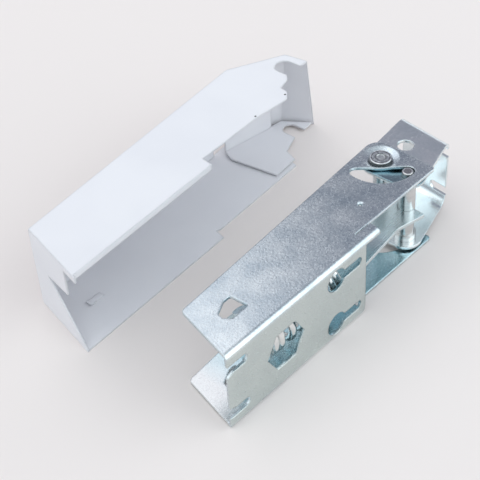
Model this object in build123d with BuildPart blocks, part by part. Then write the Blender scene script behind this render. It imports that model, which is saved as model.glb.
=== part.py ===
"""Spring-loaded lid hinge of folded, zinc-plated sheet steel, lying on its side and standing open, with its cover beside it.

X runs along the hinge towards the lid, Y from the cabinet face into the open channel, Z across the two side plates.
The origin lies on the cabinet face, midway between the screw seats of its two keyholes.
"""
import os
from math import acos, atan2, cos, degrees, hypot, radians, sin, tan

from build123d import *

os.makedirs("parts", exist_ok=True)

# Sheet, folds and clearances of the two brackets
sheet = 1.5
fold_radius = 2.6
running_gap = 0.05
side_gap = 0.2

# Cabinet bracket: a channel whose web is the cabinet face, with two long side plates
face_length = 90.0
bracket_height = 45.0
near_depth = 32.5
near_slant = 7.2
back_taper = 3.8
step_in = 6.6
plate_length = 149.0
far_corner_radius = 7.0
near_corner_radius = 2.2
front_corner_radius = 1.5
tongue_length = 10.0
tongue_slit = 0.6
web_corner_radius = 5.0

# Openings in the cabinet face: two keyholes, two open slots and a hexagon
screw_slot_width = 5.0
screw_spacing = 27.0
keyhole_lobe_radius = 6.0
keyhole_lobe_x = 69.6
keyhole_end_x = 84.5
open_slot_depth = 12.4
slot_lead_in = 2.0
hexagon_radius = 12.0
hexagon_x = 36.0

# Lanced thrust lugs in the side plates, which hold the spring seat
lug_x = 15.2
lug_length = 12.6
lug_front = 13.0
lug_width = 10.0
lug_tilt = 33.0
lug_reach = 6.0
lug_root = 6.3
lug_corner_radius = 2.4

# Pivot: a rivet in a pressed dish, and the half-moon that the link pin's ends travel in
pivot_x = 139.3
pivot_y = 30.9
rivet_radius = 3.5
rivet_head_radius = 5.4
rivet_head_proud = 0.3
rivet_dimple_radius = 2.4
rivet_dimple_depth = 0.5
dish_radius = 8.8
dish_depth = 1.0
moon_clearance = 0.5
moon_chord = 7.1
moon_direction = 221.5
pip_x = 107.3
pip_y = 17.5
pip_radius = 0.8
pip_rim_radius = 1.5
pip_rim_depth = 0.6

# Lid bracket: a narrower channel inside the first, shown open, its own X axis turned from the hinge's
lid_turn = -5.0
lid_fold_radius = 6.0
lid_reach = 35.5
lid_back = 16.0
lid_front = 12.0
lid_pivot_eye_radius = 9.2
lid_pin_eye_radius = 8.4
lid_slot_width = 5.4
lid_slot_depth = 9.5
lid_slot_spacing = 24.0
lid_hole_radius = 4.0
lid_hole_x = 17.3

# Link pin, riveted across the lid bracket
pin_throw = 15.7
pin_angle = -89.2
pin_radius = 4.25
pin_end_radius = 2.8
pin_shoulder_radius = 5.2
pin_shoulder_height = 3.5
pin_end_inset = 0.2

# Push strap: forked on the link pin, with shoulders for the spring and a tail through its seat
strap_thickness = 2.0
fork_width = 20.4
fork_overhang = 0.5
waist_width = 14.0
waist_from_pin = 15.0
shoulder_width = 20.6
shoulder_length = 16.0
shoulder_from_pin = 60.4
tail_width = 5.2
tail_past_seat = 6.0

# Spring and its seat
seat_thickness = 2.0
seat_width = 23.0
seat_full_height = 12.0
seat_ear = (8.5, 15.5)
seat_slot_play = 3.3
wire_diameter = 4.2
spring_diameter = 25.4
spring_pitch = 8.5
spring_end_gap = 0.15

# Cover: a painted folded shell and the end piece nested in it, lying beside the hinge.
# Points are (along, deep) from its near front corner
cover_sheet = 0.8
cover_fold_radius = 0.7
cover_height = 47.0
cover_x = -9.6
cover_y = 80.5
cover_turn = 4.1
cover_near_back = (11.0, 39.5)
cover_far_back = (156.2, 43.2)
cover_low_end = [(186.5, 31.9), (195.3, 16.1)]
cover_top_end = [(184.8, 26.3), (186.6, 13.4)]
cover_low_front = [(95.2, -2.1), (96.9, 4.0), (98.7, 2.9), (160.3, 2.1), (163.0, 10.0), (168.0, 14.0)]
cover_top_front = [(0.7, 2.6), (93.8, 1.4), (94.6, 6.8), (109, 6.2), (133, 5.5), (155, 2.4), (159.7, 6.0), (160.5, 10.7)]
cover_top_bay = [(167.9, 12.0), (170.9, 14.7), (181.3, 13.8)]
cover_bay = (176.1, 20.0)
cover_bay_radius = 5.15
cover_lip = 3.5
cover_gap_height = 27.0
cover_gap_share = 0.31
cover_lip_share = 0.75
cover_window = (141.2, 152.0)
cover_window_height = 11.0
end_lift = 0.8
end_height = 20.0
end_near = (146.8, 38.9)
end_wall_far = (177.2, 31.9)
end_front = [(143.4, 32.0), (146.9, 4.4), (162.6, 4.5), (165.6, 12.0), (177.2, 15.6)]
end_back = [(193.0, 15.8), (184.6, 30.2)]
end_bay = (181.6, 21.6)
end_bay_radius = 4.2

# Places worked out from the sizes above
half_height = bracket_height / 2
near_x = -keyhole_end_x
far_x = near_x + face_length
pivot = (near_x + pivot_x, pivot_y)
pin = (pivot[0] + pin_throw * cos(radians(pin_angle)), pivot[1] + pin_throw * sin(radians(pin_angle)))
screw_rows = (-screw_spacing / 2, screw_spacing / 2)
lid_half_height = half_height - sheet - dish_depth - side_gap
moon_radius = pin_throw + pin_end_radius + moon_clearance
moon_corner_radius = pin_end_radius + 0.8 * moon_clearance
seat_near_x = near_x + lug_x + lug_length
seat = (seat_near_x + seat_thickness, pin[1])
strap_angle = degrees(atan2(pin[1] - seat[1], pin[0] - seat[0]))
strap_run = hypot(pin[0] - seat[0], pin[1] - seat[1])
floor_z = -half_height - rivet_head_proud


def back_edge(distance):
    """Depth of the side plates' slanting back edge at a distance from the near end."""
    return near_depth + (distance - near_slant) * tan(radians(back_taper))


def about_pivot(radius, angle):
    """Point at a radius and an angle about the pivot."""
    return (pivot[0] + radius * cos(radians(angle)), pivot[1] + radius * sin(radians(angle)))


# Cabinet bracket
with BuildPart() as cabinet_bracket:
    with BuildSketch(Plane.XY.offset(-half_height)) as side_outline:
        with BuildLine():
            Polyline(
                (near_x, 0),
                (far_x, 0),
                (far_x, step_in),
                (near_x + plate_length, step_in),
                (near_x + plate_length, back_edge(plate_length)),
                (near_x + near_slant, near_depth),
                close=True,
            )
        make_face()
        far_corners = side_outline.vertices().group_by(Axis.X)[-1].sort_by(Axis.Y)
        fillet(far_corners[-1], radius=far_corner_radius)
        far_front = side_outline.vertices().group_by(Axis.X)[-1].sort_by(Axis.Y)[0]
        fillet(far_front, radius=front_corner_radius)
        near_back = side_outline.vertices().sort_by(Axis.X)[1]
        fillet(near_back, radius=near_corner_radius)
    extrude(amount=bracket_height)
    fillet(cabinet_bracket.edges().filter_by(Axis.X).group_by(Axis.Y)[0], radius=fold_radius)

    # The open channel between the plates
    with BuildSketch(Plane.YZ.offset(near_x - 1)) as channel:
        with Locations((sheet, 0)):
            Rectangle(2 * near_depth + plate_length, bracket_height - 2 * sheet, align=(Align.MIN, Align.CENTER))
        fillet(channel.vertices().group_by(Axis.Y)[0], radius=fold_radius - sheet)
    extrude(amount=plate_length + 2, mode=Mode.SUBTRACT)

    # The tongue that carries the upper fold on past the end of the face
    with BuildSketch(Plane.YZ.offset(far_x - fold_radius)):
        with BuildLine():
            tongue_edge = step_in - tongue_slit
            Line((0, half_height - fold_radius), (sheet, half_height - fold_radius))
            RadiusArc((sheet, half_height - fold_radius), (fold_radius, half_height - sheet), fold_radius - sheet)
            Polyline(
                (fold_radius, half_height - sheet),
                (tongue_edge, half_height - sheet),
                (tongue_edge, half_height),
                (fold_radius, half_height),
            )
            RadiusArc((fold_radius, half_height), (0, half_height - fold_radius), -fold_radius)
        make_face()
    extrude(amount=tongue_length + fold_radius)

    # The rounded lower corner at the face's far end
    with BuildSketch(Plane.XZ):
        with BuildLine():
            corner = (far_x, -half_height)
            Line((far_x - web_corner_radius, -half_height), corner)
            Line(corner, (far_x, -half_height + web_corner_radius))
            RadiusArc(
                (far_x, -half_height + web_corner_radius), (far_x - web_corner_radius, -half_height), web_corner_radius
            )
        make_face()
    extrude(amount=-fold_radius, mode=Mode.SUBTRACT)

    # Keyholes, open slots and the hexagon in the face
    with BuildSketch(Plane.XZ):
        for row in screw_rows:
            with Locations((near_x + keyhole_lobe_x, row)):
                Circle(keyhole_lobe_radius)
            with Locations((near_x + (keyhole_lobe_x + keyhole_end_x) / 2, row)):
                SlotCenterToCenter(keyhole_end_x - keyhole_lobe_x, screw_slot_width)
            with Locations((near_x, row)):
                SlotOverall(2 * open_slot_depth, screw_slot_width)
            mouth = row - screw_slot_width / 2 if row > 0 else row + screw_slot_width / 2
            inward = -slot_lead_in if row > 0 else slot_lead_in
            with BuildLine():
                Polyline((near_x - 1, mouth), (near_x + 2 * slot_lead_in, mouth), (near_x - 1, mouth + inward), close=True)
            make_face()
        with Locations((near_x + hexagon_x, 0)):
            RegularPolygon(hexagon_radius, 6)
    extrude(amount=-2 * sheet, both=True, mode=Mode.SUBTRACT)

    # Lanced windows, half-moons and the pip, through both side plates
    with BuildSketch(Plane.XY.offset(-half_height - 1)) as plate_openings:
        lug_start = near_x + lug_x
        with BuildLine():
            Polyline(
                (lug_start + 0.2 * lug_length, lug_front),
                (lug_start + lug_length, lug_front),
                (lug_start + 0.94 * lug_length, lug_front + lug_width),
                (lug_start + 0.62 * lug_length, lug_front + lug_width),
                (lug_start + 0.05 * lug_length, lug_front + 0.66 * lug_width),
                (lug_start, lug_front + 0.34 * lug_width),
                close=True,
            )
        make_face()
        fillet(plate_openings.vertices(), radius=0.08 * lug_length)
        half_span = degrees(acos(moon_chord / moon_radius))
        moon_start = about_pivot(moon_radius, moon_direction - half_span)
        moon_end = about_pivot(moon_radius, moon_direction + half_span)
        with BuildSketch(mode=Mode.PRIVATE) as moon:
            with BuildLine():
                Line(moon_start, moon_end)
                ThreePointArc(moon_start, about_pivot(moon_radius, moon_direction), moon_end)
            make_face()
            fillet(moon.vertices(), radius=moon_corner_radius)
        add(moon.sketch)
        with Locations((near_x + pip_x, pip_y)):
            Circle(pip_radius)
    extrude(amount=bracket_height + 2, mode=Mode.SUBTRACT)

    # The lugs themselves, bent inwards along the windows' front edges
    for side in (1, -1):
        lug_plane = Plane(
            origin=(lug_start + lug_length - lug_root / 2, lug_front, side * half_height),
            x_dir=(1, 0, 0),
            z_dir=(0, -sin(radians(lug_tilt)), -side * cos(radians(lug_tilt))),
        )
        with BuildSketch(lug_plane) as lug:
            with Locations((0, -side * lug_reach / 2)):
                Rectangle(lug_root, lug_reach)
            free_end = 0 if side == 1 else -1
            fillet(lug.vertices().group_by(Axis.Y)[free_end], radius=lug_corner_radius)
        extrude(amount=sheet)

    # Dishes pressed in around the pivot, the rivet's holes and the pips' sunk rims
    for side in (1, -1):
        dish_plane = Plane(origin=(*pivot, side * half_height), x_dir=(1, 0, 0), z_dir=(0, 0, -side))
        with BuildSketch(dish_plane.offset(sheet)):
            Circle(dish_radius)
        with BuildSketch(dish_plane.offset(sheet + dish_depth)):
            Circle(rivet_head_radius + side_gap + sheet / 2)
        loft()
        with BuildSketch(dish_plane):
            Circle(dish_radius)
        with BuildSketch(dish_plane.offset(dish_depth)):
            Circle(rivet_head_radius + side_gap)
        loft(mode=Mode.SUBTRACT)
        with BuildSketch(dish_plane):
            Circle(rivet_radius)
        extrude(amount=2 * sheet + dish_depth, mode=Mode.SUBTRACT)
        pip_plane = Plane(origin=(near_x + pip_x, pip_y, side * half_height), x_dir=(1, 0, 0), z_dir=(0, 0, -side))
        with BuildSketch(pip_plane):
            Circle(pip_rim_radius)
        with BuildSketch(pip_plane.offset(pip_rim_depth)):
            Circle(pip_radius)
        loft(mode=Mode.SUBTRACT)

    # The chord of each half-moon is trimmed once more, where the dishes reach past it
    extrude(Plane.XY.offset(-half_height - 1) * moon.sketch, amount=bracket_height + 2, mode=Mode.SUBTRACT)
cabinet_bracket.part.label = "cabinet_bracket"
export_step(cabinet_bracket.part, "parts/cabinet_bracket.step")

# Pivot rivet, headed over in the two dishes
with BuildPart() as pivot_rivet:
    with Locations((*pivot, 0)):
        Cylinder(rivet_radius, 2 * (half_height - dish_depth))
    for side in (1, -1):
        head_plane = Plane(origin=(*pivot, side * (half_height - dish_depth)), x_dir=(1, 0, 0), z_dir=(0, 0, side))
        with BuildSketch(head_plane):
            Circle(rivet_head_radius)
        extrude(amount=dish_depth + rivet_head_proud)
        rim = pivot_rivet.faces().sort_by(Axis.Z)[-1 if side > 0 else 0].edges()
        chamfer(rim, length=rivet_head_proud)
        with BuildSketch(head_plane.offset(dish_depth + rivet_head_proud)):
            Circle(rivet_dimple_radius)
        extrude(amount=-rivet_dimple_depth, taper=30, mode=Mode.SUBTRACT)
pivot_rivet.part.label = "pivot_rivet"
export_step(pivot_rivet.part, "parts/pivot_rivet.step")

# Lid bracket, drawn in its own frame about the pivot
lid_plane = Plane(
    origin=(*pivot, 0), x_dir=(cos(radians(lid_turn)), sin(radians(lid_turn)), 0), z_dir=(0, 0, 1)
)
lid_pin = (pin_throw * cos(radians(pin_angle - lid_turn)), pin_throw * sin(radians(pin_angle - lid_turn)))
with BuildPart() as lid_bracket:
    with BuildSketch(lid_plane.offset(-lid_half_height)):
        Circle(lid_pivot_eye_radius)
        with Locations(lid_pin):
            Circle(lid_pin_eye_radius)
        with Locations((lid_reach - sheet, -lid_front)):
            Rectangle(sheet, lid_front + lid_back, align=(Align.MIN, Align.MIN))
        make_hull()
    extrude(amount=2 * lid_half_height)
    across = Axis(lid_plane.origin, lid_plane.y_dir)
    along = Axis(lid_plane.origin, lid_plane.x_dir)
    fillet(lid_bracket.edges().filter_by(across).sort_by(along)[-2:], radius=lid_fold_radius)
    with BuildSketch(Plane(origin=lid_plane.origin, x_dir=lid_plane.x_dir, z_dir=-lid_plane.y_dir)) as lid_channel:
        with Locations((lid_reach - sheet, 0)):
            Rectangle(plate_length, 2 * (lid_half_height - sheet), align=(Align.MAX, Align.CENTER))
        fillet(lid_channel.vertices().sort_by(along)[-2:], radius=lid_fold_radius - sheet)
    extrude(amount=plate_length, both=True, mode=Mode.SUBTRACT)
    web_plane = Plane(
        origin=lid_plane.from_local_coords((lid_reach, 0, 0)), x_dir=lid_plane.y_dir, z_dir=lid_plane.x_dir
    )
    with BuildSketch(web_plane):
        for row in (-lid_slot_spacing / 2, lid_slot_spacing / 2):
            with Locations((-lid_front, row)):
                SlotOverall(2 * lid_slot_depth, lid_slot_width)
    extrude(amount=-2 * sheet, both=True, mode=Mode.SUBTRACT)
    with BuildSketch(lid_plane.offset(-half_height)):
        Circle(rivet_radius + running_gap)
        with Locations(lid_pin):
            Circle(pin_end_radius)
        with Locations((lid_hole_x, 0)):
            Circle(lid_hole_radius)
    extrude(amount=bracket_height, mode=Mode.SUBTRACT)
lid_bracket.part.label = "lid_bracket"
export_step(lid_bracket.part, "parts/lid_bracket.step")

# Link pin: shouldered between the lid bracket's plates, its ends passing on into the half-moons
with BuildPart() as link_pin:
    pin_bed = lid_half_height - sheet
    with Locations((*pin, 0)):
        Cylinder(pin_radius, 2 * pin_bed)
        Cylinder(pin_end_radius, 2 * (half_height - pin_end_inset))
    with Locations((*pin, -pin_bed)):
        Cylinder(pin_shoulder_radius, pin_shoulder_height, align=(Align.CENTER, Align.CENTER, Align.MIN))
    pin_faces = link_pin.faces().sort_by(Axis.Z)
    chamfer(pin_faces[-1].edges() + pin_faces[0].edges(), length=0.15 * pin_end_radius)
link_pin.part.label = "link_pin"
export_step(link_pin.part, "parts/link_pin.step")

# Push strap
strap_plane = Plane(
    origin=(*pin, -strap_thickness / 2), x_dir=(cos(radians(strap_angle)), sin(radians(strap_angle)), 0), z_dir=(0, 0, 1)
)
with BuildPart() as push_strap:
    with BuildSketch(strap_plane) as strap_outline:
        tail_end = -strap_run - seat_thickness - tail_past_seat
        upper_edge = [
            (fork_overhang, fork_width / 2),
            (-fork_overhang, fork_width / 2),
            (-waist_from_pin, waist_width / 2),
            (-shoulder_from_pin + shoulder_length, shoulder_width / 2),
            (-shoulder_from_pin, shoulder_width / 2),
            (-shoulder_from_pin, tail_width / 2),
            (tail_end, tail_width / 2),
        ]
        with BuildLine():
            Polyline(*upper_edge, *[(x, -y) for x, y in reversed(upper_edge)], close=True)
        make_face()
        with Locations((0, 0)):
            Circle(pin_radius + running_gap, mode=Mode.SUBTRACT)
            Rectangle(
                fork_width,
                2 * (pin_radius + running_gap),
                align=(Align.MIN, Align.CENTER),
                mode=Mode.SUBTRACT,
            )
    extrude(amount=strap_thickness)
push_strap.part.label = "push_strap"
export_step(push_strap.part, "parts/push_strap.step")

# Spring seat: a plate across the channel, its narrow ears against the lugs, slotted for the strap's tail
with BuildPart() as spring_seat:
    with BuildSketch(Plane.YZ.offset(seat_near_x)):
        ear_end = half_height - sheet - side_gap
        upper_edge = [
            (seat[1] - seat_width / 2, seat_full_height / 2),
            (seat_ear[0], ear_end),
            (seat_ear[1], ear_end),
            (seat[1] + seat_width / 2, seat_full_height / 2),
        ]
        with BuildLine():
            Polyline(*upper_edge, *[(y, -z) for y, z in reversed(upper_edge)], close=True)
        make_face()
        with Locations((seat[1], 0)):
            RectangleRounded(
                tail_width + 2 * seat_slot_play, strap_thickness + 8 * side_gap, 2 * side_gap, mode=Mode.SUBTRACT
            )
    extrude(amount=seat_thickness)
spring_seat.part.label = "spring_seat"
export_step(spring_seat.part, "parts/spring_seat.step")

# Coil spring between the seat and the strap's shoulders
strap_direction = Vector(cos(radians(strap_angle)), sin(radians(strap_angle)), 0)
spring_length = strap_run - shoulder_from_pin - wire_diameter - 2 * spring_end_gap
spring_start = Vector(*seat, 0) + strap_direction * (wire_diameter / 2 + spring_end_gap)
with BuildPart() as coil_spring:
    with BuildLine() as coil:
        Helix(
            pitch=spring_pitch,
            height=spring_length,
            radius=(spring_diameter - wire_diameter) / 2,
            center=spring_start,
            direction=strap_direction,
        )
    with BuildSketch(Plane(origin=coil.wire() @ 0, z_dir=coil.wire() % 0)):
        Circle(wire_diameter / 2)
    sweep(path=coil.wire(), is_frenet=True)
coil_spring.part.label = "coil_spring"
export_step(coil_spring.part, "parts/coil_spring.step")


def wall_outline(points, thickness):
    """Outline of a wall along a path of points, its thickness lying on the right-hand side."""
    inner = []
    for index, point in enumerate(points):
        before = points[max(index - 1, 0)]
        after = points[min(index + 1, len(points) - 1)]
        normals = []
        for first, second in ((before, point), (point, after)):
            run = (second[0] - first[0], second[1] - first[1])
            length = hypot(*run)
            if length > 0:
                normals.append((run[1] / length, -run[0] / length))
        mitre = 1 + normals[0][0] * normals[-1][0] + normals[0][1] * normals[-1][1]
        shift = [thickness * (normals[0][axis] + normals[-1][axis]) / mitre for axis in (0, 1)]
        inner.append((point[0] + shift[0], point[1] + shift[1]))
    return [*points, *reversed(inner)]


cover_plane = Plane(
    origin=(near_x + cover_x, cover_y, floor_z),
    x_dir=(cos(radians(cover_turn)), sin(radians(cover_turn)), 0),
    z_dir=(0, 0, 1),
)

# Hinge cover: two flanges, a back wall that turns in at the far end, and a notched near end
with BuildPart() as hinge_cover:
    with BuildSketch(cover_plane):
        with BuildLine():
            Polyline(*wall_outline([(0, 0), cover_near_back, cover_far_back], cover_sheet), close=True)
        make_face()
    extrude(amount=cover_height)

    # The flange on the floor, with the hooked step in its front edge
    with BuildSketch(cover_plane):
        with BuildLine():
            Polyline((0, 0), *cover_low_front, cover_bay, cover_far_back, cover_near_back, close=True)
        make_face()
    extrude(amount=cover_sheet)

    # The upper flange, stepped back at the front and cut away round the pivot, with a lip along its front
    with BuildSketch(cover_plane.offset(cover_height - cover_sheet)):
        with BuildLine():
            Polyline(
                *cover_top_front, *cover_top_bay, *reversed(cover_top_end), cover_far_back, cover_near_back, close=True
            )
        make_face()
        with Locations(cover_bay):
            Circle(cover_bay_radius, mode=Mode.SUBTRACT)
            Rectangle(
                2 * cover_bay_radius, 4 * cover_bay_radius, align=(Align.CENTER, Align.MAX), mode=Mode.SUBTRACT
            )
    extrude(amount=cover_sheet)
    back_edges = hinge_cover.edges().filter_by(lambda edge: edge.length > 0.9 * (cover_far_back[0] - cover_near_back[0]))
    fold_edges = back_edges.sort_by(Axis.Y)[-4:].sort_by(Axis.Z)
    fillet([fold_edges[0], fold_edges[-1]], radius=cover_fold_radius)
    with BuildSketch(cover_plane.offset(cover_height - cover_lip)):
        with BuildLine():
            Polyline(*wall_outline(list(reversed(cover_top_front[:2])), -cover_sheet), close=True)
        make_face()
    extrude(amount=cover_lip)

    # The far end's walls, which lean in towards the upper flange
    last_back = (
        cover_far_back[0] - 4 * cover_sheet,
        cover_far_back[1]
        - 4 * cover_sheet * (cover_far_back[1] - cover_near_back[1]) / (cover_far_back[0] - cover_near_back[0]),
    )
    for level, end_points in ((0, cover_low_end), (cover_height - cover_sheet / 2, cover_top_end)):
        with BuildSketch(cover_plane.offset(level)):
            with BuildLine():
                Polyline(*wall_outline([last_back, cover_far_back, *end_points], cover_sheet), close=True)
            make_face()
    loft(ruled=True)

    # The opening low in the back wall, and the wedge-shaped one in the near end
    with BuildSketch(cover_plane.offset(cover_sheet)):
        with Locations((cover_window[0], cover_near_back[1])):
            Rectangle(cover_window[1] - cover_window[0], cover_near_back[1], align=(Align.MIN, Align.MIN))
    extrude(amount=cover_window_height, mode=Mode.SUBTRACT)
    near_length = hypot(*cover_near_back)
    near_plane = Plane(
        origin=cover_plane.origin,
        x_dir=cover_plane.from_local_coords((*cover_near_back, 0)) - cover_plane.origin,
        z_dir=cover_plane.from_local_coords((cover_near_back[1], -cover_near_back[0], 0)) - cover_plane.origin,
    )
    with BuildSketch(near_plane):
        with BuildLine():
            Polyline(
                (-1, cover_sheet),
                (0, cover_sheet),
                ((1 - cover_gap_share) * near_length, cover_gap_height),
                ((1 - cover_lip_share) * near_length, cover_gap_height + 2 * cover_sheet),
                ((1 - cover_lip_share) * near_length, cover_height - cover_lip),
                (-1, cover_height - cover_lip),
                close=True,
            )
        make_face()
    extrude(amount=cover_sheet, both=True, mode=Mode.SUBTRACT)
hinge_cover.part.label = "hinge_cover"
export_step(hinge_cover.part, "parts/hinge_cover.step")

# End piece of the cover, nested in its far end: a floor flange notched for the rivet, and a low back wall
with BuildPart() as cover_end:
    end_plane = cover_plane.offset(cover_sheet + end_lift)
    with BuildSketch(end_plane):
        with BuildLine():
            Polyline(*wall_outline([end_near, end_wall_far], cover_sheet), close=True)
        make_face()
    extrude(amount=end_height)
    with BuildSketch(end_plane):
        with BuildLine():
            Polyline(end_near, *end_front, *end_back, end_wall_far, close=True)
        make_face()
        with Locations(end_bay):
            Circle(end_bay_radius, mode=Mode.SUBTRACT)
            Rectangle(2 * end_bay_radius, 4 * end_bay_radius, align=(Align.CENTER, Align.MAX), mode=Mode.SUBTRACT)
    extrude(amount=cover_sheet)
cover_end.part.label = "cover_end"
export_step(cover_end.part, "parts/cover_end.step")
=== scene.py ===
"""Looks of a spring-loaded lid hinge and its cover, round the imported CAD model. Lengths are in metres."""
from math import pi, radians

import bpy
from mathutils import Matrix, Quaternion, Vector


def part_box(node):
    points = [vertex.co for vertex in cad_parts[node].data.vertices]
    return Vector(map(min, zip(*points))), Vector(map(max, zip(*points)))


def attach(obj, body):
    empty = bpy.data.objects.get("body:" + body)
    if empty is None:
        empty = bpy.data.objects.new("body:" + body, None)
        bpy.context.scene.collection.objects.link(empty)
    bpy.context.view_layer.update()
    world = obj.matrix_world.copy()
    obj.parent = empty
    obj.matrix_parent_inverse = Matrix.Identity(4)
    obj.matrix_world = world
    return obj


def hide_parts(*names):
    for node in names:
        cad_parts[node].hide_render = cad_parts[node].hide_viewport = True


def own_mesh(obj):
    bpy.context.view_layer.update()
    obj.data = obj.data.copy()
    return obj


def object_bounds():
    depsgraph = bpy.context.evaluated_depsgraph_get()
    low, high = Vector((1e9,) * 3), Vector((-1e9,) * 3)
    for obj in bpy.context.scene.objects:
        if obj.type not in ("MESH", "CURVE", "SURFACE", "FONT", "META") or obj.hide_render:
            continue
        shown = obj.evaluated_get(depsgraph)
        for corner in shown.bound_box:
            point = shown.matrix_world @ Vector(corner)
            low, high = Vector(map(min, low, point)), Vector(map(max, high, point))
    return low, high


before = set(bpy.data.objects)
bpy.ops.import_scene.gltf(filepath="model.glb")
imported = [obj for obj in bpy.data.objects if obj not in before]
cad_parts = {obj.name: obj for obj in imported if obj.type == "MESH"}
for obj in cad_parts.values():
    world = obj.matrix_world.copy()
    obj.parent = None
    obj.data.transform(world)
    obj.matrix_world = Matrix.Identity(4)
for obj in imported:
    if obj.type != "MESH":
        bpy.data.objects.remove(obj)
cad_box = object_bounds()

# Cabinet bracket: cold-rolled sheet, pierced, lanced and folded to a channel, then zinc plated in a barrel.
# It is screwed to the cabinet by its keyholes. The plating is cloudy, with a fine crystal grain.


def new_finish(name):
    """A new material with its node tree and its Principled shader."""
    material = bpy.data.materials.new(name)
    material.use_nodes = True
    tree = material.node_tree
    return material, tree, tree.nodes["Principled BSDF"]


def noise(tree, scale, detail, stretch=(1, 1, 1)):
    """Noise in object coordinates, finer along an axis with a larger stretch."""
    place = tree.nodes.new("ShaderNodeTexCoord")
    mapping = tree.nodes.new("ShaderNodeMapping")
    mapping.inputs["Scale"].default_value = stretch
    texture = tree.nodes.new("ShaderNodeTexNoise")
    texture.inputs["Scale"].default_value = scale
    texture.inputs["Detail"].default_value = detail
    tree.links.new(place.outputs["Object"], mapping.inputs["Vector"])
    tree.links.new(mapping.outputs["Vector"], texture.inputs["Vector"])
    return texture.outputs["Fac"]


def blend(tree, first, second, share):
    """A value that is mostly the first, with a share of the second."""
    node = tree.nodes.new("ShaderNodeMix")
    node.inputs["Factor"].default_value = share
    tree.links.new(first, node.inputs["A"])
    tree.links.new(second, node.inputs["B"])
    return node.outputs["Result"]


def tone(tree, source, dark, light, low=0.35, high=0.65):
    """Colour that runs from dark to light as a value goes from low to high."""
    node = tree.nodes.new("ShaderNodeValToRGB")
    for element, position, colour in zip(node.color_ramp.elements, (low, high), (dark, light)):
        element.position = position
        element.color = (*colour, 1)
    tree.links.new(source, node.inputs["Fac"])
    return node.outputs["Color"]


def span(tree, source, low, high):
    """A noise value carried onto a range."""
    node = tree.nodes.new("ShaderNodeMapRange")
    node.inputs["From Min"].default_value = 0.3
    node.inputs["From Max"].default_value = 0.7
    node.inputs["To Min"].default_value = low
    node.inputs["To Max"].default_value = high
    tree.links.new(source, node.inputs["Value"])
    return node.outputs["Result"]


def relief(tree, shader, source, height, edge):
    """Fine relief from a value, over edges that are rounded by a small radius."""
    rounding = tree.nodes.new("ShaderNodeBevel")
    rounding.samples = 4
    rounding.inputs["Radius"].default_value = edge
    bump = tree.nodes.new("ShaderNodeBump")
    bump.inputs["Distance"].default_value = height
    tree.links.new(source, bump.inputs["Height"])
    tree.links.new(rounding.outputs["Normal"], bump.inputs["Normal"])
    tree.links.new(bump.outputs["Normal"], shader.inputs["Normal"])


def arithmetic(tree, operation, first, second):
    """One sum between two values or sockets."""
    node = tree.nodes.new("ShaderNodeMath")
    node.operation = operation
    for socket, value in zip(node.inputs, (first, second)):
        if isinstance(value, (int, float)):
            socket.default_value = value
        else:
            tree.links.new(value, socket)
    return node.outputs["Value"]


def box_mask(tree, low, high, soft):
    """Mask of a box in object coordinates, with sides that are soft by a width on each axis."""
    place = tree.nodes.new("ShaderNodeSeparateXYZ")
    tree.links.new(tree.nodes.new("ShaderNodeTexCoord").outputs["Object"], place.inputs["Vector"])
    mask = 1.0
    for axis, start, stop, width in zip("XYZ", low, high, soft):
        offset = arithmetic(tree, "SUBTRACT", place.outputs[axis], (start + stop) / 2)
        inside = tree.nodes.new("ShaderNodeMapRange")
        inside.inputs["From Min"].default_value = (stop - start) / 2 + width
        inside.inputs["From Max"].default_value = (stop - start) / 2 - width
        tree.links.new(arithmetic(tree, "ABSOLUTE", offset, 0), inside.inputs["Value"])
        mask = arithmetic(tree, "MULTIPLY", inside.outputs["Result"], mask)
    return mask


crystal_height = 0.00008
painted_zone_calm = 0.7
sheared_edge = 0.0009


def zinc_plate(name, dark, light, gloss, painted_zones=()):
    """Plated sheet: a dense crystal grain under slow clouds, in tone, gloss and relief.

    Each painted zone has its own dark and light tones, which paint light or shade onto the plating there,
    and its grain is calmer.
    """
    material, tree, shader = new_finish(name)
    grain = blend(tree, noise(tree, 1000, 3), noise(tree, 2400, 2), 0.3)
    pattern = blend(tree, noise(tree, 70, 4), grain, 0.4)
    colour = tone(tree, pattern, dark, light)
    crystals = grain
    # Painted light and shade: each zone's tones replace the plating's colour there
    for zone, zone_tones in painted_zones:
        mask = box_mask(tree, *zone)
        cover_up = tree.nodes.new("ShaderNodeMix")
        cover_up.data_type = "RGBA"
        tree.links.new(mask, cover_up.inputs["Factor"])
        tree.links.new(colour, cover_up.inputs["A"])
        tree.links.new(tone(tree, pattern, *zone_tones), cover_up.inputs["B"])
        colour = cover_up.outputs["Result"]
        calmed = arithmetic(tree, "MULTIPLY", mask, -painted_zone_calm)
        crystals = arithmetic(tree, "MULTIPLY", crystals, arithmetic(tree, "ADD", calmed, 1))
    tree.links.new(colour, shader.inputs["Base Color"])
    shader.inputs["Metallic"].default_value = 1
    tree.links.new(span(tree, grain, *gloss), shader.inputs["Roughness"])
    relief(tree, shader, crystals, crystal_height, sheared_edge)
    return material


def dress(node, material):
    """Gives a CAD node its material."""
    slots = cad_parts[node].data.materials
    slots.clear()
    slots.append(material)


zinc_dark = (0.49, 0.575, 0.63)
zinc_light = (0.81, 0.88, 0.895)
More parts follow.
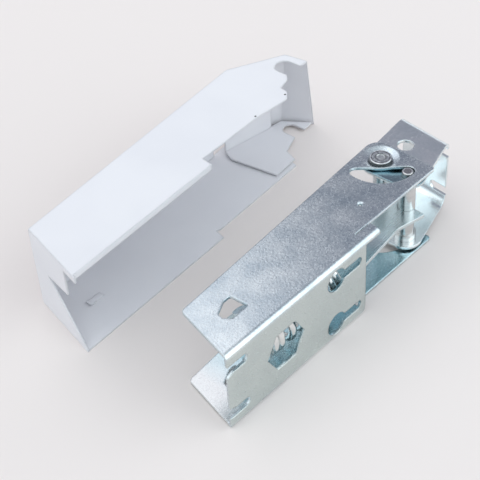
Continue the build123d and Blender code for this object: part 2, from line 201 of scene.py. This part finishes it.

# Painted light and shade by zone: a paler painted reflection on the lower plate's near end, a darker, bluer
# painted shade in the channel, and a darker, greyer painted shade on the cabinet face
channel_painted_shade = ((0.44, 0.64, 0.71), (0.55, 0.75, 0.80))
near_end_painted_light = ((0.72, 0.75, 0.755), (0.77, 0.79, 0.79))
face_painted_shade = ((0.58, 0.64, 0.635), (0.64, 0.70, 0.685))
channel_zone = ((-0.060, 0.0008, -0.0212), (0.2, 0.1, 0.0212), (0.012, 0.0003, 0.0001))
lower_near_zone = ((-0.2, 0.0030, -0.03), (-0.060, 0.1, 0.0), (0.012, 0.0010, 0.001))
face_zone = ((-0.2, -0.01, -0.0205), (0.2, 0.0005, 0.0205), (0.001, 0.0003, 0.0010))
bracket_painted_zones = ((lower_near_zone, near_end_painted_light), (channel_zone, channel_painted_shade), (face_zone, face_painted_shade))
dress("cabinet_bracket", zinc_plate("bracket_zinc", zinc_dark, zinc_light, (0.17, 0.31), bracket_painted_zones))

# Spring seat: a slotted plate of thicker strip that the spring presses against the lanced lugs.
# It is blanked and plated, and nothing but the spring holds it.
dress("spring_seat", zinc_plate("seat_zinc", (0.46, 0.60, 0.65), (0.58, 0.70, 0.74), (0.24, 0.36)))

# Coil spring: round spring wire, coiled with closed ends that are ground flat, then plated.
# It is threaded on the strap's tail, and closing the lid squeezes it against the seat.
wire_diameter = 0.0038
closed_turns = 2.0
active_pitch = 0.0076
first_turn = 0.535
spring_low, spring_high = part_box("coil_spring")
spring_length = spring_high[0] - spring_low[0]
spring_radius = (spring_high[2] - spring_low[2] - wire_diameter) / 2
spring_y = (spring_low[1] + spring_high[1]) / 2
spring_points = 420
wire_sides = 16


def tree_input(tree, name, value, kind="NodeSocketFloat"):
    """A named input of a geometry tree, with its default."""
    socket = tree.interface.new_socket(name, in_out="INPUT", socket_type=kind)
    socket.default_value = value
    return socket.identifier


def finish_tree(tree, geometry, material):
    """Ends a geometry tree in real geometry with one material."""
    realize = tree.nodes.new("GeometryNodeRealizeInstances")
    paint = tree.nodes.new("GeometryNodeSetMaterial")
    paint.inputs["Material"].default_value = material
    tree.links.new(geometry, realize.inputs["Geometry"])
    tree.links.new(realize.outputs["Geometry"], paint.inputs["Geometry"])
    tree.links.new(paint.outputs["Geometry"], tree.nodes.new("NodeGroupOutput").inputs["Geometry"])


def spring_tree(material):
    """Geometry tree of a spring along +X: closed end turns, open turns between, both ends ground flat."""
    tree = bpy.data.node_groups.new("ground_spring", "GeometryNodeTree")
    sizes = {
        name: tree_input(tree, name, value)
        for name, value in (
            ("Radius", spring_radius),
            ("Wire", wire_diameter),
            ("Length", spring_length),
            ("Closed turns", closed_turns),
            ("Open pitch", active_pitch),
            ("First turn", first_turn),
        )
    }
    tree.interface.new_socket("Geometry", in_out="OUTPUT", socket_type="NodeSocketGeometry")
    given = tree.nodes.new("NodeGroupInput").outputs
    closed_rise = arithmetic(tree, "MULTIPLY", given["Wire"], given["Closed turns"])
    open_rise = arithmetic(tree, "SUBTRACT", given["Length"], arithmetic(tree, "MULTIPLY", closed_rise, 2))
    open_turns = arithmetic(tree, "DIVIDE", open_rise, given["Open pitch"])
    all_turns = arithmetic(tree, "ADD", open_turns, arithmetic(tree, "MULTIPLY", given["Closed turns"], 2))

    line = tree.nodes.new("GeometryNodeCurvePrimitiveLine")
    resample = tree.nodes.new("GeometryNodeResampleCurve")
    resample.inputs["Count"].default_value = spring_points
    tree.links.new(line.outputs["Curve"], resample.inputs["Curve"])
    along = tree.nodes.new("GeometryNodeSplineParameter").outputs["Factor"]
    turns = arithmetic(tree, "MULTIPLY", along, all_turns)
    past_first = arithmetic(tree, "MAXIMUM", arithmetic(tree, "SUBTRACT", turns, given["Closed turns"]), 0)
    in_open = arithmetic(tree, "MINIMUM", past_first, open_turns)
    in_closed = arithmetic(tree, "SUBTRACT", turns, in_open)
    rise = arithmetic(
        tree,
        "ADD",
        arithmetic(tree, "MULTIPLY", in_closed, given["Wire"]),
        arithmetic(tree, "MULTIPLY", in_open, given["Open pitch"]),
    )
    angle = arithmetic(tree, "MULTIPLY", arithmetic(tree, "ADD", turns, given["First turn"]), 2 * pi)
    point = tree.nodes.new("ShaderNodeCombineXYZ")
    tree.links.new(rise, point.inputs["X"])
    for axis, operation in (("Y", "COSINE"), ("Z", "SINE")):
        swing = arithmetic(tree, operation, angle, 0)
        tree.links.new(arithmetic(tree, "MULTIPLY", swing, given["Radius"]), point.inputs[axis])
    bend = tree.nodes.new("GeometryNodeSetPosition")
    tree.links.new(resample.outputs["Curve"], bend.inputs["Geometry"])
    tree.links.new(point.outputs["Vector"], bend.inputs["Position"])

    section = tree.nodes.new("GeometryNodeCurvePrimitiveCircle")
    section.inputs["Resolution"].default_value = wire_sides
    tree.links.new(arithmetic(tree, "DIVIDE", given["Wire"], 2), section.inputs["Radius"])
    sweep = tree.nodes.new("GeometryNodeCurveToMesh")
    sweep.inputs["Fill Caps"].default_value = True
    tree.links.new(bend.outputs["Geometry"], sweep.inputs["Curve"])
    tree.links.new(section.outputs["Curve"], sweep.inputs["Profile Curve"])

    # Grinding: nothing stands past the two end planes
    place = tree.nodes.new("ShaderNodeSeparateXYZ")
    tree.links.new(tree.nodes.new("GeometryNodeInputPosition").outputs["Position"], place.inputs["Vector"])
    past_near = arithmetic(tree, "MAXIMUM", place.outputs["X"], 0)
    inside = arithmetic(tree, "MINIMUM", past_near, given["Length"])
    ground_point = tree.nodes.new("ShaderNodeCombineXYZ")
    tree.links.new(inside, ground_point.inputs["X"])
    for axis in ("Y", "Z"):
        tree.links.new(place.outputs[axis], ground_point.inputs[axis])
    grind = tree.nodes.new("GeometryNodeSetPosition")
    tree.links.new(sweep.outputs["Mesh"], grind.inputs["Geometry"])
    tree.links.new(ground_point.outputs["Vector"], grind.inputs["Position"])
    smooth = tree.nodes.new("GeometryNodeSetShadeSmooth")
    tree.links.new(grind.outputs["Geometry"], smooth.inputs["Geometry"])
    finish_tree(tree, smooth.outputs["Geometry"], material)
    return tree, sizes


def grown_piece(name, tree, values, base_mesh, move):
    """Runs a geometry tree on a mesh and keeps its result as a plain mesh, moved into place."""
    seed = bpy.data.objects.new(name + "_seed", base_mesh)
    bpy.context.scene.collection.objects.link(seed)
    modifier = seed.modifiers.new("grow", "NODES")
    modifier.node_group = tree
    for identifier, value in values.items():
        modifier[identifier] = value
    settled = seed.evaluated_get(bpy.context.evaluated_depsgraph_get())
    mesh = bpy.data.meshes.new_from_object(settled)
    mesh.transform(move)
    bpy.data.objects.remove(seed)
    piece = bpy.data.objects.new(name, mesh)
    bpy.context.scene.collection.objects.link(piece)
    return piece


spring_wire, tree, shader = new_finish("spring_wire")
drawing = noise(tree, 400, 3)
tree.links.new(tone(tree, drawing, (0.74, 0.76, 0.76), (0.86, 0.86, 0.84)), shader.inputs["Base Color"])
shader.inputs["Metallic"].default_value = 1
tree.links.new(span(tree, drawing, 0.14, 0.26), shader.inputs["Roughness"])

ground_spring, spring_sizes = spring_tree(spring_wire)
spring = grown_piece(
    "ground_spring",
    ground_spring,
    {spring_sizes["Length"]: spring_length, spring_sizes["Radius"]: spring_radius},
    bpy.data.meshes.new("spring_seed"),
    Matrix.Translation((spring_low[0], spring_y, 0)),
)
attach(spring, "base")
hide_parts("coil_spring")
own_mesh(spring)

# Push strap: blanked from thick strip, forked on the link pin, with shoulders that push the spring.
# The strip's rolling lines run along it, under the same plating.
strap_zinc, tree, shader = new_finish("strap_zinc")
rolling = noise(tree, 500, 3, (0.12, 1, 1))
strap_tone = tone(tree, rolling, (0.69, 0.78, 0.80), (0.73, 0.81, 0.83), low=0.25, high=0.75)
tree.links.new(strap_tone, shader.inputs["Base Color"])
shader.inputs["Metallic"].default_value = 1
tree.links.new(span(tree, rolling, 0.22, 0.30), shader.inputs["Roughness"])
fine_lines = 0.000004
bar_edge = 0.0006
relief(tree, shader, rolling, fine_lines, bar_edge)
dress("push_strap", strap_zinc)

# Link pin: turned from bar with a shoulder at each end, plated, and riveted over in the lid bracket.
# Faint rings run round it from the tool, and each end is spun to a rim, whose light and dark rings are
# painted highlight and painted shade.


def painted_ring_shading(tree, node, stops, colour):
    """A colour under rings of painted highlight and painted shade, placed by the distance from the node's
    axle as a share of its radius.
    """
    low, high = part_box(node)
    radius = (high[0] - low[0]) / 2
    from_centre = tree.nodes.new("ShaderNodeMapping")
    from_centre.inputs["Location"].default_value = [-(a + b) / 2 / radius for a, b in zip(low, high)]
    from_centre.inputs["Scale"].default_value = (1 / radius, 1 / radius, 0)
    tree.links.new(tree.nodes.new("ShaderNodeTexCoord").outputs["Object"], from_centre.inputs["Vector"])
    distance = tree.nodes.new("ShaderNodeVectorMath")
    distance.operation = "LENGTH"
    tree.links.new(from_centre.outputs["Vector"], distance.inputs[0])
    rings = tree.nodes.new("ShaderNodeValToRGB")
    for stop in stops[1:-1]:
        rings.color_ramp.elements.new(stop[0])
    for element, (position, shade) in zip(rings.color_ramp.elements, stops):
        element.position = position
        element.color = (shade, shade, shade, 1)
    tree.links.new(distance.outputs["Value"], rings.inputs["Fac"])
    shaded = tree.nodes.new("ShaderNodeMix")
    shaded.data_type = "RGBA"
    shaded.blend_type = "MULTIPLY"
    shaded.inputs["Factor"].default_value = 1
    tree.links.new(colour, shaded.inputs["A"])
    tree.links.new(rings.outputs["Color"], shaded.inputs["B"])
    return shaded.outputs["Result"]


pin_steel, tree, shader = new_finish("pin_steel")
rings = noise(tree, 700, 2, (0.05, 0.05, 1.5))
# Painted highlight and shade on the pin's ends: shades above 1 are painted highlights on the spun rim, the
# dark rings painted shade at its edges
pin_painted_rings = (
    (0, 1.0), (0.12, 0.55), (0.20, 1.0), (0.27, 0.35), (0.36, 1.3),
    (0.46, 1.3), (0.52, 0.25), (0.57, 1.0), (1, 1.0),
)
pin_tone = tone(tree, rings, (0.62, 0.63, 0.63), (0.69, 0.70, 0.69))
tree.links.new(painted_ring_shading(tree, "link_pin", pin_painted_rings, pin_tone), shader.inputs["Base Color"])
shader.inputs["Metallic"].default_value = 1
tree.links.new(span(tree, rings, 0.16, 0.26), shader.inputs["Roughness"])
relief(tree, shader, rings, fine_lines, bar_edge)
dress("link_pin", pin_steel)

# Lid bracket: the same plated sheet, folded narrower so that it turns between the plates of the first.
# It is screwed to the lid by its two open slots.
# Painted light: the lid's tones are far lighter than the cabinet bracket's, though it is the same plated
# sheet, to brighten its dim faces
lid_painted_light_low = (0.76, 0.85, 0.875)
lid_painted_light_high = (0.93, 0.975, 0.985)
# Painted shadow: darker, bluer tones on the lid's top plate where it lies under the cabinet bracket's top
# plate
lapped_painted_shadow = ((0.26, 0.37, 0.42), (0.36, 0.48, 0.53))
lapped_zone = ((0.0, -0.1, 0.0190), (0.0642, 0.1, 0.03), (0.0004, 0.001, 0.0004))
lid_painted_zones = ((lapped_zone, lapped_painted_shadow),)
dress("lid_bracket", zinc_plate("lid_zinc", lid_painted_light_low, lid_painted_light_high, (0.16, 0.28), lid_painted_zones))

# Pivot rivet: a plain steel rivet set by a spinning punch, which leaves a rough, dished head.
# It holds the two brackets together and is the axle that they turn on.
rivet_steel, tree, shader = new_finish("rivet_steel")
punch = blend(tree, noise(tree, 800, 2), noise(tree, 350, 2), 0.5)
# Painted highlight and shade on the rivet's head: the bright rim is a painted highlight, the dark rings and
# the outer edge painted shade
rivet_painted_rings = (
    (0, 0.8), (0.34, 0.8), (0.46, 0.3), (0.56, 0.85), (0.74, 0.85),
    (0.81, 0.18), (0.88, 1.2), (0.94, 1.2), (1, 0.1),
)
rivet_tone = tone(tree, punch, (0.52, 0.57, 0.60), (0.92, 0.95, 0.96))
tree.links.new(painted_ring_shading(tree, "pivot_rivet", rivet_painted_rings, rivet_tone), shader.inputs["Base Color"])
shader.inputs["Metallic"].default_value = 1
tree.links.new(span(tree, punch, 0.22, 0.36), shader.inputs["Roughness"])
rivet_place = tree.nodes.new("ShaderNodeSeparateXYZ")
tree.links.new(tree.nodes.new("ShaderNodeTexCoord").outputs["Object"], rivet_place.inputs["Vector"])
head_level = 0.96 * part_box("pivot_rivet")[1][2]
from_middle = arithmetic(tree, "ABSOLUTE", rivet_place.outputs["Z"], 0)
on_head = arithmetic(tree, "GREATER_THAN", from_middle, head_level)
punch_height = 0.0004
head_edge = 0.0005
relief(tree, shader, arithmetic(tree, "MULTIPLY", punch, on_head), punch_height, head_edge)
dress("pivot_rivet", rivet_steel)

# Hinge cover: thin sheet steel, folded and powder coated white, which snaps over the hinge on the cabinet.
# The coat is satin, with a faint orange peel and soft edges.
cover_paint, tree, shader = new_finish("cover_paint")
peel = noise(tree, 800, 2)
coat_tone = tone(tree, noise(tree, 25, 2), (0.752, 0.750, 0.783), (0.782, 0.779, 0.808))
tree.links.new(coat_tone, shader.inputs["Base Color"])
tree.links.new(span(tree, peel, 0.40, 0.50), shader.inputs["Roughness"])
peel_height = 0.00001
coated_edge = 0.0014
relief(tree, shader, peel, peel_height, coated_edge)
dress("hinge_cover", cover_paint)

# Clip lance of the cover: a short tongue sheared and raised from the floor flange, painted over with it.
# It snaps into the cabinet's edge.
cover_place = Matrix.Translation((-0.0941, 0.0805, -0.0228)) @ Matrix.Rotation(radians(4.1), 4, "Z")
clip_start = (0.0215, 0.0182)
clip_length = 0.0092
clip_width = 0.0034
clip_rise = 0.0009
clip_sheet = 0.0008
clip_steps = 8
clip_curve = 1.5
clip_points = []
for step in range(clip_steps + 1):
    share = step / clip_steps
    lift = clip_sheet * 0.5 + clip_rise * (1 - share) ** clip_curve
    for across, depth in ((0, 0), (1, 0), (1, -clip_sheet), (0, -clip_sheet)):
        clip_x = clip_start[0] + clip_length * share
        clip_y = clip_start[1] + clip_width * across
        clip_points.append((clip_x, clip_y, clip_sheet + lift + depth))
clip_faces = [(0, 1, 2, 3), tuple(4 * clip_steps + corner for corner in (3, 2, 1, 0))]
for step in range(clip_steps):
    for corner in range(4):
        after = (corner + 1) % 4
        ring = 4 * step
        clip_faces.append((ring + after, ring + corner, ring + 4 + corner, ring + 4 + after))
clip_mesh = bpy.data.meshes.new("cover_clip")
clip_mesh.from_pydata(clip_points, [], clip_faces)
clip_mesh.transform(cover_place)
clip_mesh.materials.append(cover_paint)
clip = bpy.data.objects.new("cover_clip", clip_mesh)
bpy.context.scene.collection.objects.link(clip)
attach(clip, "base")

# Hook marks: small bare spots at the edge of the upper flange, from the hooks of the coating line.
# Each is a shallow disc of dull steel where the paint did not take.
mark_radius = 0.00055
mark_depth = 0.00012
mark_sides = 12
mark_spots = ((0.1571, 0.0053), (0.1346, 0.0064))
mark_level = 0.04700
bare_steel, tree, shader = new_finish("bare_steel")
shader.inputs["Base Color"].default_value = (0.13, 0.13, 0.14, 1)
shader.inputs["Metallic"].default_value = 0.4
shader.inputs["Roughness"].default_value = 0.6
mark_tree = bpy.data.node_groups.new("hook_marks", "GeometryNodeTree")
mark_tree.interface.new_socket("Geometry", in_out="INPUT", socket_type="NodeSocketGeometry")
mark_size = tree_input(mark_tree, "Radius", mark_radius)
mark_tree.interface.new_socket("Geometry", in_out="OUTPUT", socket_type="NodeSocketGeometry")
mark_given = mark_tree.nodes.new("NodeGroupInput").outputs
spot = mark_tree.nodes.new("GeometryNodeMeshCylinder")
spot.inputs["Vertices"].default_value = mark_sides
spot.inputs["Depth"].default_value = mark_depth
mark_tree.links.new(mark_given["Radius"], spot.inputs["Radius"])
scatter = mark_tree.nodes.new("GeometryNodeInstanceOnPoints")
mark_tree.links.new(mark_given["Geometry"], scatter.inputs["Points"])
mark_tree.links.new(spot.outputs["Mesh"], scatter.inputs["Instance"])
finish_tree(mark_tree, scatter.outputs["Instances"], bare_steel)
mark_mesh = bpy.data.meshes.new("mark_spots")
mark_mesh.from_pydata([(*point, mark_level) for point in mark_spots], [], [])
marks = grown_piece("hook_marks", mark_tree, {mark_size: mark_radius}, mark_mesh, cover_place)
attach(marks, "base")

# End piece of the cover: a second painted pressing, nested in the far end that goes round the pivot.
# It has the same coat.
dress("cover_end", cover_paint)

# Floor: a plain pale surface that the hinge and its cover lie on.
floor_reach = 3.0
floor_level = cad_box[0][2]
floor_mesh = bpy.data.meshes.new("floor")
floor_mesh.from_pydata(
    [(x * floor_reach, y * floor_reach, floor_level) for x, y in ((-1, -1), (1, -1), (1, 1), (-1, 1))],
    [],
    [(0, 1, 2, 3)],
)
floor = bpy.data.objects.new("floor", floor_mesh)
bpy.context.scene.collection.objects.link(floor)
floor_finish, tree, shader = new_finish("floor_pale")
shader.inputs["Base Color"].default_value = (0.80, 0.742, 0.718, 1)
shader.inputs["Roughness"].default_value = 0.9
floor_mesh.materials.append(floor_finish)

# Light: a soft panel overhead, a broad one to the front right, a faint one behind and a low strip far off.
# The room is pale on the camera's side and a dim lavender on the far side.
work_centre = Vector((0, 0.05, 0))
for name, place, size, power, colour in (
    ("overhead", (-0.45, 0.65, 1.5), (1.6, 1.6), 4.4, (1.0, 0.985, 0.965)),
    ("behind", (0.34, 0.96, 1.08), (0.9, 0.9), 2.4, (1.0, 0.99, 1.0)),
    ("front", (0.85, -1.15, 0.80), (1.9, 1.9), 11.4, (0.93, 0.985, 1.0)),
    ("far strip", (1.45, 0.85, 0.30), (1.5, 0.35), 1.4, (0.96, 1.0, 1.0)),
):
    lamp = bpy.data.lights.new(name, "AREA")
    lamp.shape = "RECTANGLE"
    lamp.size, lamp.size_y = size
    lamp.energy = power
    lamp.color = colour
    light = bpy.data.objects.new(name, lamp)
    light.location = place
    light.rotation_euler = (work_centre - Vector(place)).to_track_quat("-Z", "Y").to_euler()
    bpy.context.scene.collection.objects.link(light)

room_dim = (0.28, 0.28, 0.335)
room_pale = (1.0, 1.08, 1.13)
pale_side = Vector((-0.75, -0.60, 0.28)).normalized()
world = bpy.data.worlds.new("room")
world.use_nodes = True
tree = world.node_tree
facing = tree.nodes.new("ShaderNodeVectorMath")
facing.operation = "DOT_PRODUCT"
facing.inputs[1].default_value = pale_side
tree.links.new(tree.nodes.new("ShaderNodeTexCoord").outputs["Generated"], facing.inputs[0])
pale_share = tree.nodes.new("ShaderNodeMapRange")
pale_share.interpolation_type = "SMOOTHSTEP"
pale_share.inputs["From Min"].default_value = -0.6
pale_share.inputs["From Max"].default_value = 0.6
tree.links.new(facing.outputs["Value"], pale_share.inputs["Value"])
wall = tree.nodes.new("ShaderNodeMix")
wall.data_type = "RGBA"
wall.inputs["A"].default_value = (*room_dim, 1)
wall.inputs["B"].default_value = (*room_pale, 1)
tree.links.new(pale_share.outputs["Result"], wall.inputs["Factor"])
tree.links.new(wall.outputs["Result"], tree.nodes["Background"].inputs["Color"])
bpy.context.scene.world = world

# Camera: above and to the near left of the hinge, tilted slightly, as in the photo.
view = bpy.data.cameras.new("camera")
view.sensor_width = 36
view.lens = 97.5
camera = bpy.data.objects.new("camera", view)
camera.location = (-0.3260, -0.2571, 0.4098)
forward = Vector((0.51773, 0.52418, -0.67616))
roll = Quaternion((0, 0, 1), radians(-3.955))
camera.rotation_euler = (forward.to_track_quat("-Z", "Y") @ roll).to_euler()
bpy.context.scene.collection.objects.link(camera)
bpy.context.scene.camera = camera
bpy.context.scene.view_settings.view_transform = "Standard"
